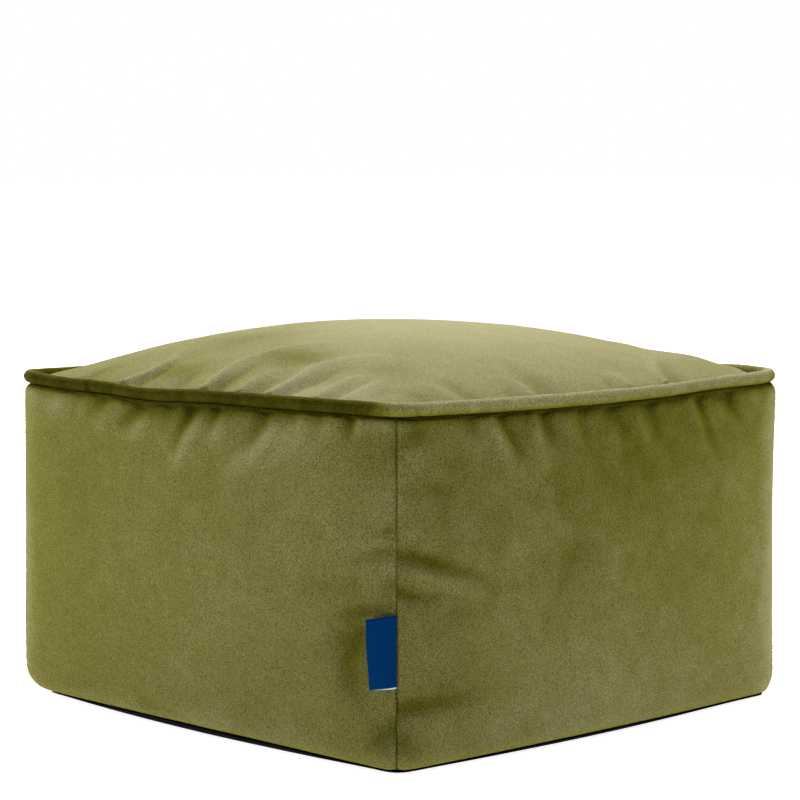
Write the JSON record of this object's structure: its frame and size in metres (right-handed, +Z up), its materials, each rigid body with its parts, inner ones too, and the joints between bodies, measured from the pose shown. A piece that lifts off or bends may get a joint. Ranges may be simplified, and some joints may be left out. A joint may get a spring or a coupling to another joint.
{
  "type": "cube pouf stool",
  "caption": "Soft cube pouf stool in velvet: a filled cloth cube with a domed top, a piped top seam, a dark base cloth and a bare folded label in a corner seam.",
  "frame": {"origin": "middle of the base, on the surface that the pouf stands on", "axes": "+Z up; the front side faces -Y; the label is sewn into the upright corner seam at +X, -Y"},
  "size_m": [0.5506, 0.5519, 0.3526],
  "materials": {
    "velvet": "olive green short-pile velvet, soft nap",
    "piping_velvet": "the same velvet, cut on the bias over a cord",
    "base_cloth": "matt near-black base cloth",
    "woven_label": "dark blue woven ribbon, bare"
  },
  "bodies": {
    "root": {"velvet_cube": "velvet", "top_piping": "piping_velvet", "base_cloth": "base_cloth", "side_label": "woven_label"}
  },
  "joints": []
}
